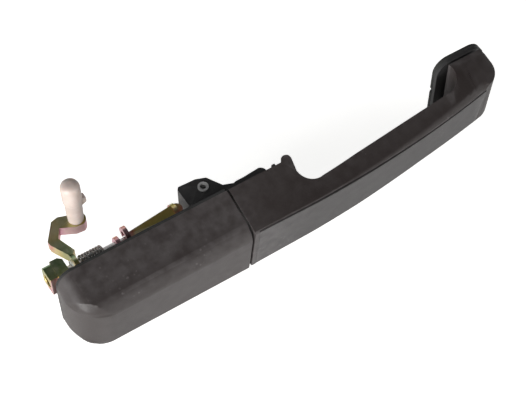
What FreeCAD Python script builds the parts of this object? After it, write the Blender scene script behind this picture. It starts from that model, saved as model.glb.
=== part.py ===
"""Pull-type car door handle with an end cap, a relay lever and a front hinge.

The sketches are drawn in the handle's own directions: X runs along the handle from the rear
towards the front hinge, Y points into the door and Z up. They start from the split between cap
and grip (x = 0), the outer door skin (y = 0) and mid height (z = 0). Each sub-part's Placement
then carries it to the handle's origin, the mouth of the fixing thread in the rear block.
"""
import FreeCAD, Part
import Sketcher
import math
import os
from FreeCAD import Vector

doc = FreeCAD.newDocument("door_handle")

# ---------------------------------------------------------------- driving dimensions
SIZES = {
    # origin: the mouth of the fixing thread, measured from the split, the skin and mid height
    "datum_along": -84.2, "datum_inward": 9.5, "datum_up": 4.0,
    # outer section shared by the end cap and the grip
    "half_height": 21, "top_drop": 0.3386, "face_tilt": 0.128, "seam_height": 13.2,
    "face_depth": 23.4, "wall": 2.8, "gasket_thick": 1.5,
    # end cap
    "cap_length": 84, "cap_nose": 17, "cap_corner": 8.5, "cap_edge": 6.5,
    # grip
    "grip_start": 1.2, "base_length": 34, "horn_width": 5.6, "horn_reach": 0.8,
    "recess_depth": 14.6, "bar_inner": 11.5, "foot_start": 124,
    "front_end": 142.6, "foot_inward": 3.5, "strip_thick": 1.8, "strip_gap": 0.05,
    # front hinge
    "hinge_along": 134.5, "hinge_inward": 1.0, "hinge_radius": 2.4, "hinge_slack": 0.05,
    "plate_start": 4.8, "plate_thick": 1.8, "pad_thick": 2.0, "pad_length": 27,
    "pad_middle": 132.5, "pad_corner": 7.5,
    # relay shaft and lever, measured from the shaft's axis where they turn about it
    "rod_inward": 7.5, "rod_up": 6.0, "rod_radius": 2.5, "rod_slack": 0.05,
    "sheet_metal": 2.0, "strap_out": 7.0, "finger_drop": 22.0, "finger_radius": 1.5,
    "sleeve_radius": 2.1, "ear_radius": 6.0,
    # return spring
    "wire_radius": 0.6, "coil_radius": 3.9, "coil_turns": 7.5, "coil_pitch": 1.35,
    # rod clip
    "clip_along": -60, "clip_inward": 27, "clip_radius": 4.4, "clip_waist": 3.9,
    "clip_height": 26.5, "socket_radius": 1.6, "socket_depth": 22, "peg_radius": 2.7,
    # fixing thread in the rear block
    "thread_radius": 3.0, "block_thick": 4.0,
    # self-tapping screws
    "screw_head": 2.9, "screw_shank": 1.4, "screw_head_height": 1.8,
}

sheet = doc.addObject("Spreadsheet::Sheet", "Sizes")
for row, (alias, number) in enumerate(SIZES.items(), start=1):
    sheet.set(f"A{row}", alias)
    sheet.set(f"B{row}", str(number))
    sheet.setAlias(f"B{row}", alias)
doc.recompute()


class Size:
    """A length that remembers the sheet expression it was worked out from."""

    def __init__(self, number, text=None):
        self.number = float(number)
        self.text = text or repr(float(number))

    def __add__(self, other):
        other = as_size(other)
        return Size(self.number + other.number, f"({self.text} + {other.text})")

    def __sub__(self, other):
        other = as_size(other)
        return Size(self.number - other.number, f"({self.text} - {other.text})")

    def __mul__(self, other):
        other = as_size(other)
        return Size(self.number * other.number, f"({self.text} * {other.text})")

    def __neg__(self):
        return Size(-self.number, f"(0 - {self.text})")

    def __radd__(self, other):
        return as_size(other) + self

    def __rsub__(self, other):
        return as_size(other) - self

    __rmul__ = __mul__


def as_size(value):
    return value if isinstance(value, Size) else Size(value)


class Sheet:
    """Reads the spreadsheet's cells by alias, as sizes."""

    def __getattr__(self, alias):
        return Size(sheet.get(alias), f"Sizes.{alias}")


S = Sheet()


# ---------------------------------------------------------------- drawing helpers
def place(obj, along=0, inward=0, up=0):
    """Carry a finished sub-part from the drawing's start point to the handle's origin."""
    offsets = (along - S.datum_along, inward - S.datum_inward, up - S.datum_up)
    for letter, offset in zip("xyz", offsets):
        obj.setExpression(f".Placement.Base.{letter}", offset.text)
    doc.recompute()


def new_body(label):
    body = doc.addObject("PartDesign::Body", label)
    body.Label = label
    return body


def origin_plane(body, role):
    return next(item for item in body.Origin.OriginFeatures if item.Role == f"{role}_Plane")


def pin_coordinate(sketch, geometry, end, kind, size):
    """Hold one coordinate of a geometry's end at a size worked out from the sheet."""
    size = as_size(size)
    index = sketch.addConstraint(Sketcher.Constraint(kind, -1, 1, geometry, end, size.number))
    sketch.setExpression(f"Constraints[{index}]", size.text)


def pin_point(sketch, geometry, end, point):
    for kind, size in zip(("DistanceX", "DistanceY"), point):
        pin_coordinate(sketch, geometry, end, kind, size)


def pin_centre(sketch, arc, number, start, finish):
    """Hold an arc's centre at its distance from the middle of its chord."""
    chord = flat(finish) - flat(start)
    index = 1 if abs(chord.x) > abs(chord.y) else 0
    middle = (start[index] + as_size(finish[index])) * 0.5
    offset = (arc.Center.x, arc.Center.y)[index] - middle.number
    pin_coordinate(sketch, number, 3, ("DistanceX", "DistanceY")[index], middle + offset)


def flat(point):
    return Vector(as_size(point[0]).number, as_size(point[1]).number, 0)


def counter_clockwise(start, middle, finish):
    """The arc through three points as a sketch wants it, and which of its ends are which."""
    circle = Part.Arc(start, middle, finish).toShape().Curve
    leftward = (middle - start).cross(finish - start).z > 0
    ends = (start, finish) if leftward else (finish, start)
    angles = [math.atan2(end.y - circle.Center.y, end.x - circle.Center.x) for end in ends]
    if angles[1] < angles[0]:
        angles[1] += 2 * math.pi
    whole = Part.Circle(circle.Center, Vector(0, 0, 1), circle.Radius)
    arc = Part.ArcOfCircle(whole, *angles)
    return (arc, 1, 2) if leftward else (arc, 2, 1)


def draw_loop(sketch, loop):
    """Draw one closed loop. An item (x, y) is a line's end and ((x, y), (x, y)) an arc's
    middle and end; a circle is ("circle", (x, y), radius)."""
    if loop[0] == "circle":
        centre, radius = loop[1], as_size(loop[2])
        circle = sketch.addGeometry(
            Part.Circle(flat(centre), Vector(0, 0, 1), radius.number), False)
        pin_point(sketch, circle, 3, centre)
        index = sketch.addConstraint(Sketcher.Constraint("Radius", circle, radius.number))
        sketch.setExpression(f"Constraints[{index}]", radius.text)
        return
    first = loop[0]
    here = first
    for item in loop[1:] + [first]:
        is_arc = isinstance(item[0], tuple)
        there = item[1] if is_arc else item
        if is_arc:
            arc, start, finish = counter_clockwise(flat(here), flat(item[0]), flat(there))
            number = sketch.addGeometry(arc, False)
            pin_centre(sketch, arc, number, here, there)
            pin_point(sketch, number, start, here)
        else:
            number = sketch.addGeometry(Part.LineSegment(flat(here), flat(there)), False)
            start, finish = 1, 2
            pin_point(sketch, number, 1, here)
        if item is first:
            sketch.addConstraint(Sketcher.Constraint("Coincident", number, finish, *opening))
        if here is first:
            opening = (number, start)
        else:
            sketch.addConstraint(Sketcher.Constraint("Coincident", *last_end, number, start))
        last_end = (number, finish)
        here = there


def new_sketch(body, role, level, loops):
    """A sketch on one of the body's own planes: XY looks down Z, XZ along -Y, YZ down X."""
    sketch = body.newObject("Sketcher::SketchObject", f"{body.Name}_sketch")
    sketch.AttachmentSupport = [(origin_plane(body, role), "")]
    sketch.MapMode = "FlatFace"
    lift = -as_size(level) if role == "XZ" else as_size(level)
    sketch.setExpression(".AttachmentOffset.Base.z", lift.text)
    for loop in loops:
        draw_loop(sketch, loop)
    return sketch


def pad(body, role, low, high, *loops):
    """Fill the loops from low to high along the axis that the plane looks down."""
    level = high if role == "XZ" else low
    feature = body.newObject("PartDesign::Pad", f"{body.Name}_pad")
    feature.Profile = new_sketch(body, role, level, loops)
    feature.setExpression("Length", (as_size(high) - low).text)
    doc.recompute()


def pocket(body, role, low, high, *loops):
    """Remove the loops from low to high, and make sure that something was removed."""
    before = body.Shape.Volume
    level = low if role == "XZ" else high
    feature = body.newObject("PartDesign::Pocket", f"{body.Name}_pocket")
    feature.Profile = new_sketch(body, role, level, loops)
    feature.setExpression("Length", (as_size(high) - low).text)
    doc.recompute()
    if body.Shape.Volume > before - 0.5:
        raise RuntimeError(f"{feature.Name} in {body.Label} removes nothing")


def loft(body, kind, role, stations):
    """A ruled loft through one loop per station."""
    sketches = [new_sketch(body, role, level, [loop]) for level, loop in stations]
    feature = body.newObject(f"PartDesign::{kind}", f"{body.Name}_loft")
    feature.Profile = sketches[0]
    feature.Sections = sketches[1:]
    feature.Ruled = True
    doc.recompute()


def box_loop(low_x, high_x, low_y, high_y):
    return [(low_x, low_y), (high_x, low_y), (high_x, high_y), (low_x, high_y)]


def rounded_loop(low_x, high_x, low_y, high_y, radius):
    """A rectangle whose four corners are arcs."""
    bow = radius * (1 - 0.5 ** 0.5)
    return [
        (high_x - radius, low_y),
        ((high_x - bow, low_y + bow), (high_x, low_y + radius)), (high_x, high_y - radius),
        ((high_x - bow, high_y - bow), (high_x - radius, high_y)), (low_x + radius, high_y),
        ((low_x + bow, high_y - bow), (low_x, high_y - radius)), (low_x, low_y + radius),
        ((low_x + bow, low_y + bow), (low_x + radius, low_y)),
    ]


AXIS_TURN = {
    "X": FreeCAD.Rotation(Vector(0, 1, 0), 90),
    "Y": FreeCAD.Rotation(Vector(1, 0, 0), -90),
    "Z": FreeCAD.Rotation(),
}


def rod(axis, radius, length, point):
    """A cylinder that starts at the point and runs along the axis."""
    solid = doc.addObject("Part::Cylinder", "rod")
    solid.Placement = FreeCAD.Placement(Vector(), AXIS_TURN[axis])
    solid.setExpression("Radius", as_size(radius).text)
    solid.setExpression("Height", as_size(length).text)
    for letter, size in zip("xyz", point):
        solid.setExpression(f".Placement.Base.{letter}", as_size(size).text)
    return solid


def fuse(label, solids):
    joined = doc.addObject("Part::MultiFuse", label)
    joined.Label = label
    joined.Shapes = solids
    return joined


def cut(label, base, tool):
    result = doc.addObject("Part::Cut", label)
    result.Label = label
    result.Base = base
    result.Tool = tool
    return result


def group(label, solids):
    """One node that holds several equal, separate solids."""
    result = doc.addObject("Part::Compound", label)
    result.Label = label
    result.Links = solids
    return result


def screw(axis, point, length, towards=1):
    """A pan-head screw whose head seats at the point and whose shank runs towards +axis or
    -axis."""
    index = "XYZ".index(axis)
    head_start = list(point)
    shank_start = list(point)
    if towards > 0:
        head_start[index] = as_size(point[index]) - S.screw_head_height
    else:
        shank_start[index] = as_size(point[index]) - length
    head = rod(axis, S.screw_head, S.screw_head_height, head_start)
    shank = rod(axis, S.screw_shank, length, shank_start)
    return fuse("screw", [head, shank])


def bush(axis, point, inner, outer, flange, length, flange_length):
    """A flanged plain bush: the flange starts at the point and the sleeve runs on from it."""
    collar = rod(axis, flange, flange_length, point)
    barrel = rod(axis, outer, length, point)
    bore = rod(axis, inner, length, point)
    return cut("bush", fuse("bush_blank", [collar, barrel]), bore)


# ---------------------------------------------------------------- end cap and its gasket
def face_at(height, depth=0):
    """Y of the tilted outer face at a height, moved in by a depth."""
    return -S.face_depth + (S.seam_height - height) * S.face_tilt + depth


def top_at(inward):
    """Z of the sloping top side at a distance inward of the door skin."""
    return S.half_height + S.top_drop * inward


CAP_SCREWS = [(-72, -11), (-55.5, -11), (-63, 12.5)]
BOSS_STARTS = [-12, -18, -13.5]
PLATE_BACK = -1.5
PLATE_FRONT = -3.5


def make_end_cap():
    body = new_body("end_cap")
    edge = S.cap_edge
    high_corner = face_at(S.seam_height)
    section = [
        (-S.gasket_thick, top_at(-S.gasket_thick)),
        (high_corner + edge, top_at(high_corner + edge)),
        ((high_corner + edge * 0.3, S.seam_height - edge * 0.12),
         (face_at(S.seam_height - edge), S.seam_height - edge)),
        (face_at(-16), -16),
        ((face_at(-17.8, 0.6), -17.9), (face_at(-18.5, 2.6), -18.7)),
        (-S.gasket_thick, -S.half_height),
    ]
    pad(body, "YZ", -S.cap_length, 0, section)
    # the rear end rounds over in plan
    nose = S.cap_nose
    far = -S.cap_length - 6
    pocket(body, "XY", -S.half_height, S.half_height, [
        (far, -4), (-S.cap_length, -4),
        ((nose * 0.29 - S.cap_length, face_at(0) + nose * 0.4),
         (nose - S.cap_length, face_at(S.seam_height, -0.3))),
        (nose - S.cap_length, -40), (far, -40)])
    # and its two corners round over as seen from the door
    for side in (1, -1):
        reach = S.cap_corner
        bow = reach * 0.293
        edge_height = S.half_height * side
        pocket(body, "XZ", -40, 1, [
            (far, edge_height - reach * side), (-S.cap_length, edge_height - reach * side),
            ((bow - S.cap_length, edge_height - bow * side), (reach - S.cap_length, edge_height)),
            (reach - S.cap_length, edge_height + 6 * side), (far, edge_height + 6 * side)])
    # hollow inside, open to the door and to the grip; shallower under the rounded end
    wall = S.wall
    pocket(body, "YZ", -64, 1, [
        (1, top_at(1) - wall), (face_at(11, wall), top_at(face_at(11, wall)) - wall),
        (face_at(-15, wall), -15.3), (-S.gasket_thick, wall - S.half_height),
        (1, wall - S.half_height)])
    pocket(body, "YZ", wall * 1.6 - S.cap_length, -63, [
        (1, 15.5), (-11, 13.2), (-11, -14.5), (1, -15.5)])
    # three screw bosses carry the bracket
    for (along, up), start in zip(CAP_SCREWS, BOSS_STARTS):
        pad(body, "XZ", start, PLATE_FRONT, ("circle", (along, up), 3.4))
        pocket(body, "XZ", -10, 0, ("circle", (along, up), S.screw_shank))
    place(body)
    return body


def make_rear_gasket():
    """A flat rubber seal along the cap's top, bottom and rear edges, open towards the grip."""
    body = new_body("rear_gasket")
    reach = S.cap_corner
    high = top_at(-S.gasket_thick)
    low = -S.half_height
    rear = -S.cap_length
    bow = reach * 0.293
    rim = 2.6
    pad(body, "XZ", -S.gasket_thick, 0, [
        (-0.4, high), (rear + reach, high),
        ((rear + bow, high - bow), (rear, high - reach)),
        (rear, low + reach), ((rear + bow, low + bow), (rear + reach, low)),
        (-0.4, low), (-0.4, low + rim), (rear + reach, low + rim),
        ((rear + bow + rim * 0.7, low + bow + rim * 0.7), (rear + rim, low + reach)),
        (rear + rim, high - reach),
        ((rear + bow + rim * 0.7, high - bow - rim * 0.7), (rear + reach, high - rim)),
        (-0.4, high - rim)])
    place(body)
    return body


# ---------------------------------------------------------------- mounting bracket group
REAR_FLANGE = -80.2
PLATE_REAR = -79.2
FLANGE_FRONT = -1.3
REAR_EAR = -76.2
FRONT_EAR = -51.0


def make_mounting_bracket():
    """Pressed steel: a plate on the cap's bosses, two ears for the shaft and a rear flange."""
    body = new_body("mounting_bracket")
    metal = S.sheet_metal
    hub_y, hub_z = S.rod_inward, S.rod_up
    pad(body, "XZ", PLATE_FRONT, PLATE_BACK, [
        (PLATE_REAR, -9), (-74, -14), (-49, -15), (-49, -2), (-57, 0), (-57, 15.2),
        (-68, 14.4), (PLATE_REAR, 9.5)])
    # rear flange behind the fixing block, with the top flange that stiffens it
    pad(body, "YZ", PLATE_REAR, REAR_FLANGE + 1.8,
        [(PLATE_FRONT, -6), (FLANGE_FRONT + 1, -6), (FLANGE_FRONT + 1, 9), (PLATE_FRONT, 9)])
    pad(body, "YZ", REAR_FLANGE, REAR_FLANGE + 1.8,
        [(FLANGE_FRONT, -7), (14, -1.5), (14, 10), (FLANGE_FRONT, 10)])
    pad(body, "XY", 10 - metal, 10,
        [(REAR_FLANGE, FLANGE_FRONT), (-74.6, FLANGE_FRONT), (-74.6, 12.4), (-76.5, 14),
         (REAR_FLANGE, 14)])
    # rear ear closes the box round the shaft's end
    pad(body, "YZ", REAR_EAR, REAR_EAR + 1.6,
        [(PLATE_FRONT, -9), (12.4, -1.5), (12.4, 10), (PLATE_FRONT, 9.5)])
    # front ear reaches the shaft from below, clear of the lever's strap
    pad(body, "YZ", FRONT_EAR, FRONT_EAR + metal, [
        (PLATE_FRONT, -14), (hub_y + 4.4, -9), (hub_y + 4.4, hub_z),
        ((hub_y, hub_z + 4.4), (hub_y - 4.4, hub_z)), (hub_y - 4.4, -4.5), (PLATE_FRONT, -4.5)])
    for along in (REAR_EAR, FRONT_EAR):
        pocket(body, "YZ", along, along + metal, ("circle", (hub_y, hub_z), S.rod_radius))
    pocket(body, "YZ", REAR_FLANGE, REAR_FLANGE + 1.8,
           ("circle", (S.datum_inward, S.datum_up), S.thread_radius))
    for along, up in CAP_SCREWS:
        pocket(body, "XZ", PLATE_FRONT, PLATE_BACK, ("circle", (along, up), S.screw_shank + 0.2))
    # hole that takes the return spring's hooked leg
    pocket(body, "XZ", PLATE_FRONT, PLATE_BACK,
           ("circle", (-67.9, hub_z - S.coil_radius), S.wire_radius + 0.2))
    place(body)
    return body


def make_fixing_block():
    """Thick tapped block on the rear flange: the one screw from the door's shut face."""
    body = new_body("fixing_block")
    pad(body, "YZ", S.datum_along, S.datum_along + S.block_thick,
        [(5, -1.5), (14, -1.5), (14, 8.2), (12.2, 10), (5, 10)])
    pocket(body, "YZ", S.datum_along, S.datum_along + S.block_thick,
           ("circle", (S.datum_inward, S.datum_up), S.thread_radius))
    place(body)
    return body


def make_bracket_screws():
    screws = [screw("Y", (along, PLATE_BACK, up), 8, towards=-1) for along, up in CAP_SCREWS]
    node = group("bracket_screws", screws)
    place(node)
    return node


def make_relay_rod():
    """Shaft fixed in the bracket's two ears; its free end is necked for the washer."""
    shank = rod("X", S.rod_radius, 56.7, (REAR_EAR, 0, 0))
    neck = rod("X", S.rod_radius - 0.5, 2.4, (-20, 0, 0))
    node = fuse("relay_rod", [shank, neck])
    place(node, 0, S.rod_inward, S.rod_up)
    return node


def make_rod_washer():
    """Push-on washer that keeps the lever on the shaft's free end."""
    ring = cut("rod_washer", rod("X", 2.95, 0.9, (-19.3, 0, 0)),
               rod("X", S.rod_radius - 0.5, 0.9, (-19.3, 0, 0)))
    place(ring, 0, S.rod_inward, S.rod_up)
    return ring


def make_return_spring():
    """Torsion spring round the shaft: one leg hooks in the bracket, one presses the strap."""
    body = new_body("return_spring")
    start = -67.9
    profile = new_sketch(body, "XZ", 0, [("circle", (start, -S.coil_radius), S.wire_radius)])
    coil = body.newObject("PartDesign::AdditiveHelix", "coil")
    coil.Profile = profile
    coil.ReferenceAxis = (next(item for item in body.Origin.OriginFeatures
                               if item.Role == "X_Axis"), [""])
    coil.Mode = 1
    coil.setExpression("Pitch", S.coil_pitch.text)
    coil.setExpression("Turns", S.coil_turns.text)
    doc.recompute()
    finish = start + S.coil_turns * S.coil_pitch
    pad(body, "XZ", -10.6, 0, ("circle", (start, -S.coil_radius), S.wire_radius))
    pad(body, "XZ", -7.6, 0, ("circle", (finish, S.coil_radius), S.wire_radius))
    place(body, 0, S.rod_inward, S.rod_up)
    return body


# ---------------------------------------------------------------- relay lever group
def make_relay_lever():
    """Pressed lever drawn round the shaft's axis: strap, two ears, a channel that carries the
    finger, and the output arm that works the latch rod."""
    body = new_body("relay_lever")
    metal = S.sheet_metal
    out = -S.strap_out
    # strap along the outer side of the shaft, deepened into the channel's web
    pad(body, "XZ", out, out + metal, [
        (-71.5, -3), (-46, -3), (-42, -S.finger_drop - 1), (-20, -S.finger_drop - 1),
        (-20, 5.2), (-45, 5.2), (-48, 3), (-71.5, 3)])
    # top flange, rounded at its front end, with the upturned eye at its rear
    pad(body, "XY", 3.6, 5.2, [
        (-45, out), (-20.6, out), (-20.6, -2.6), ((-17.6, 0.3), (-20.6, 3.2)), (-27, 2.6),
        (-45, 0.8)])
    eye = (1.4, 3.6)
    pad(body, "YZ", -46.5, -44.5, ("circle", eye, 3.9))
    pocket(body, "YZ", -46.5, -44.5, ("circle", eye, 2.1))
    pocket(body, "YZ", -46.5, -44.5, ("circle", (0, -0.2), 3.2))
    # bottom flange
    pad(body, "XY", -S.finger_drop - 1, -S.finger_drop + 1, [
        (-42, out), (-20, out), (-20, 1.6), (-38, 1.6)])
    # round finger that the pull arm carries outwards
    pad(body, "YZ", -30, -2.4, ("circle", (0.2, -S.finger_drop), S.finger_radius))
    # ears that turn on the shaft
    for along in (-71.5, -22):
        pad(body, "YZ", along, along + metal, ("circle", (0, 0), S.ear_radius))
        pocket(body, "YZ", along, along + metal, ("circle", (0, 0), S.rod_radius + 0.9))
    # output arm, a strip on edge that cranks rearwards and ends in the clip's eye
    pad(body, "XY", -1, 4.4, [
        (-71.5, 4.9), (-71.5, 4.4), (-69.6, 4.4), (-68.0, 5.8), (-71.2, 14.6), (-68.4, 19.2),
        (-61.8, 15.9), (-58.2, 15.6), ((-55.6, 19.4), (-58.6, 23.2)), (-61.6, 23.2),
        (-66.6, 24.9), (-70, 24.0), (-76.0, 15.6), (-75.8, 13.4)])
    pocket(body, "XY", -1, 4.4,
           ("circle", (S.clip_along, S.clip_inward - S.rod_inward), S.peg_radius + 0.05))
    place(body, 0, S.rod_inward, S.rod_up)
    return body


def make_relay_bushes():
    """Two nylon bushes pressed in the lever's ears; only the rear one has a collar."""
    inner = S.rod_radius + S.rod_slack
    outer = S.rod_radius + 0.9
    sides = [bush("X", (-72.4, 0, 0), inner, outer, 4.2, 2.9, 0.9),
             bush("X", (-22, 0, 0), inner, outer, outer, 2, 1)]
    node = group("relay_bushes", sides)
    place(node, 0, S.rod_inward, S.rod_up)
    return node


def make_finger_sleeve():
    """Soft sleeve that quiets the finger on the pull arm."""
    sleeve = cut("finger_sleeve", rod("X", S.sleeve_radius, 13.5, (-16.0, 0.2, -S.finger_drop)),
                 rod("X", S.finger_radius, 13.5, (-16.0, 0.2, -S.finger_drop)))
    place(sleeve, 0, S.rod_inward, S.rod_up)
    return sleeve


def make_rod_clip():
    """Nylon socket for the latch rod, standing in the lever's eye and free to swivel."""
    body = new_body("rod_clip")
    base = 10.7
    top = base + S.clip_height
    pad(body, "XY", 4.0, base, ("circle", (0, 0), S.peg_radius))
    pad(body, "XY", base, base + 14.5, ("circle", (0, 0), S.clip_waist))
    pad(body, "XY", base + 14.0, top - 1.6, ("circle", (0, 0), S.clip_radius))
    pad(body, "XY", top - 1.6, top, ("circle", (0, 0), S.clip_radius - 1.4))
    pad(body, "XY", base + 9.5, base + 14.8, box_loop(3.2, 5.9, -1.7, 1.7))
    pocket(body, "XY", 4.0, 4.0 + S.socket_depth, ("circle", (0, 0), S.socket_radius))
    place(body, S.clip_along, S.clip_inward, 0)
    return body


# ---------------------------------------------------------------- grip group
BAR_MIDDLE = 90
STRIP_END = 134.4
BUMPER_START, BUMPER_END = 23.4, 26.4
ARM_SCREWS = [(16, -10), (16, -1.5)]
ARM_SEAT = 10.6
RIB_LOW = -16.6
PIN_SPOT = (-4.6, 11.2)
PIN_LOW, PIN_TOP = -0.8, 12.1
SIDE_MIDDLE = 13.0


def grip_loop(height):
    """The grip's plan outline: only the tilted outer face moves with the height."""
    shift = (S.seam_height - height) * S.face_tilt
    horn = S.base_length
    return [
        (S.grip_start, -S.gasket_thick),
        (S.grip_start, -S.face_depth + shift),
        (horn, -23.9 + shift),
        ((BAR_MIDDLE, -20.5 + shift), (136.0, -13.3 + shift)),
        ((140.8, -10.6 + shift * 0.8), (S.front_end, -5.2 + shift * 0.4)),
        (S.front_end - 0.7, S.foot_inward),
        (S.foot_start, S.foot_inward),
        ((122.6, -4.8), (117.0, -8.4)),
        ((98.0, -9.8), (78.0, -S.bar_inner)),
        (60.0, -SIDE_MIDDLE),
        ((50.0, -14.0), (42.0, -S.recess_depth)),
        ((35.2, -13.0), (horn - 1.6, -7.8)),
        (horn - 0.6, -1.8),
        ((horn - 2.7, S.horn_reach), (horn - S.horn_width, -S.gasket_thick)),
    ]


def under_loop(outer_height, inner_height):
    """Section of what is trimmed off under the grip."""
    inner = S.foot_inward + 2
    return [(-40, outer_height), (inner, inner_height), (inner, -30), (-40, -30)]


def grip_blank(body):
    """The grip's whole outer form, before anything is hollowed out of it."""
    low, high = -S.half_height, S.half_height
    loft(body, "AdditiveLoft", "XY", [(low, grip_loop(low)), (high, grip_loop(high))])
    pocket(body, "YZ", 0, 150, [(0, S.half_height), (-40, top_at(-40)), (-40, 30), (0, 30)])
    # the lower side rises towards the front as the outer face narrows
    loft(body, "SubtractiveLoft", "YZ", [
        (0, under_loop(-14.4, -21.8)), (60, under_loop(-6.2, -23.2)),
        (98, under_loop(1.5, -23.2)), (150, under_loop(6.0, -22.4))])
    # the lower front corner of the outer face rounds up
    pocket(body, "XZ", -40, -6, [
        (128, -30), (128, -14.5), ((138.0, -11.6), (S.front_end + 1, -4)),
        (S.front_end + 4, -30)])


def strip_edge(height, start, end, inset):
    """Plan line along the back of the face strip, from its rear to its front end."""
    shift = (S.seam_height - height) * S.face_tilt + inset
    return [(start, -S.face_depth + shift), (S.base_length, -23.9 + shift),
            ((BAR_MIDDLE, -20.5 + shift), (end, -13.7 + shift))]


def make_grip_shell():
    body = new_body("grip_shell")
    grip_blank(body)
    # shallow recess for the face strip
    start, end = S.grip_start + 2.2, STRIP_END
    stations = [(height, [(start, -40)] + strip_edge(height, start, end, S.strip_thick)
                 + [(end, -40)]) for height in (-S.half_height, S.seam_height - 0.7)]
    loft(body, "SubtractiveLoft", "XY", stations)
    # channel behind the strip for the stiffener
    pocket(body, "XY", -7, 7, [
        (44, -40), (44, -17.9), (60, -16.7), (95, -14.2), (111, -12.2), (111, -40)])
    # hollow base, open to the door, for the pull arm's foot
    pocket(body, "XZ", -12, 1, box_loop(5.6, 20.4, -15.5, 12.5))
    # slot for the rest bumper
    pocket(body, "XZ", -4.0, 1, box_loop(BUMPER_START, BUMPER_END, -14, 14))
    # hollow foot round the hinge
    pocket(body, "XZ", -6.8, S.foot_inward, box_loop(127.6, 139.8, -15.2, 15.6))
    for along, up in ARM_SCREWS:
        pocket(body, "XZ", -14.6, -11, ("circle", (along, up), S.screw_shank))
    place(body)
    return body


def make_face_strip():
    """Separate strip let into the grip's outer face."""
    body = new_body("face_strip")
    grip_blank(body)
    gap = S.strip_gap
    start, end = S.grip_start + 2.2 + gap, STRIP_END - gap
    inset = S.strip_thick - gap
    top = S.seam_height - 0.7 - gap
    stations = [(height, [(-4, -40), (start, -40)] + strip_edge(height, start, end, inset)
                 + [(end, -40), (150, -40), (150, 12), (-4, 12)])
                for height in (-S.half_height, S.half_height)]
    loft(body, "SubtractiveLoft", "XY", stations)
    pocket(body, "XY", top, S.half_height, box_loop(-4, 150, -40, 12))
    place(body)
    return body


def make_stiffener_bar():
    """Steel flat that stops the grip from bowing when it is pulled."""
    body = new_body("stiffener_bar")
    pad(body, "XY", -6.6, 6.6, [
        (45, -19.2), (60, -18.3), (95, -15.1), (109, -13.3), (109, -12.5), (95, -14.3),
        (60, -16.9), (45, -18.0)])
    place(body)
    return body


def make_pull_arm():
    """Arm that reaches through the door opening and back behind the end cap."""
    body = new_body("pull_arm")
    # foot in the base's hollow, widened where it leaves the base
    pad(body, "XZ", -11.9, 5.0, box_loop(5.9, 20.1, -15.2, 12.2))
    pad(body, "XY", -13.5, 4.5, [
        (3.2, 0.9), (22.5, 0.9), ((24.6, 5.4), (22.4, 10.0)), (20, ARM_SEAT), (12, ARM_SEAT),
        (6, 8.8), (3.2, 8.0)])
    pad(body, "XY", 4, 12.2, [
        (3.2, 0.9), (22.0, 0.9), ((23.6, 4.4), (21.3, 6.5)), (15.8, 6.0), (9.2, 5.5), (3.2, 5.2)])
    # block with the hollow pin
    pad(body, "XY", -1, 11.5, [
        (-15, 4.2), (6.5, 4.2), (9.0, 5.4), (3.4, 7.6), (1.2, 11.4), (-0.8, 15.0), (-5.5, 16.8),
        (-14, 17.2), (-15, 16.0)])
    # rib below the block that bears on the lever's finger
    pad(body, "XY", RIB_LOW, -1, [
        (-14.5, 10.2), (12, 10.2), (12, ARM_SEAT), (2.0, 15.0), (-14.5, 16.6)])
    pocket(body, "XY", PIN_LOW, 11.5, ("circle", PIN_SPOT, 2.5))
    for along, up in ARM_SCREWS:
        pocket(body, "XZ", -11.9, ARM_SEAT, ("circle", (along, up), S.screw_shank + 0.2))
    place(body)
    return body


def make_hollow_pin():
    """Rolled tube that stiffens the arm where it pushes the lever."""
    start = (*PIN_SPOT, PIN_LOW)
    length = PIN_TOP - PIN_LOW
    node = cut("hollow_pin", rod("Z", 2.5, length, start), rod("Z", 1.5, length, start))
    place(node)
    return node


def make_pull_arm_screws():
    screws = [screw("Y", (along, ARM_SEAT, up), 24, towards=-1) for along, up in ARM_SCREWS]
    node = group("pull_arm_screws", screws)
    place(node)
    return node


def make_rest_bumper():
    """Rubber strip on which the grip's base comes to rest."""
    body = new_body("rest_bumper")
    pad(body, "XZ", -3.9, 0.2, box_loop(BUMPER_START + 0.1, BUMPER_END - 0.1, -13.9, 13.9))
    pad(body, "XZ", -1.2, 0.2, box_loop(BUMPER_START + 0.6, BUMPER_END - 0.6, -16.5, 19.6))
    place(body)
    return body


# ---------------------------------------------------------------- front hinge group
BLOCK_HALF = 8.0
LUG_START, LUG_END = 9.2, 14.2


def make_pivot_block():
    """Bearing block pressed in the grip's foot; it turns on the hinge pin."""
    body = new_body("pivot_block")
    pad(body, "XY", -BLOCK_HALF, BLOCK_HALF, [
        (127.7, -6.7), (139.7, -6.7), (139.7, 0), ((137.6, 3.4), (S.hinge_along, 4.4)),
        ((131.4, 3.4), (127.7, 0))])
    pocket(body, "XY", -BLOCK_HALF, BLOCK_HALF,
           ("circle", (S.hinge_along, S.hinge_inward), S.hinge_radius + 0.9))
    place(body)
    return body


def make_pivot_bushes():
    inner = S.hinge_radius + S.hinge_slack
    outer = S.hinge_radius + 0.9
    hinge = (S.hinge_along, S.hinge_inward)
    low = bush("Z", (*hinge, -BLOCK_HALF - 0.8), inner, outer, 3.6, 6, 0.8)
    high = cut("bush", fuse("bush_blank", [
        rod("Z", 3.6, 0.8, (*hinge, BLOCK_HALF)), rod("Z", outer, 6, (*hinge, BLOCK_HALF - 5.2))]),
        rod("Z", inner, 7, (*hinge, BLOCK_HALF - 5.4)))
    node = group("pivot_bushes", [low, high])
    place(node)
    return node


def make_pivot_pin():
    shank = rod("Z", S.hinge_radius, 28.8, (S.hinge_along, S.hinge_inward, -14.2))
    head = rod("Z", S.hinge_radius + 0.6, 0.8, (S.hinge_along, S.hinge_inward, LUG_END))
    node = fuse("pivot_pin", [shank, head])
    place(node)
    return node


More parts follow.
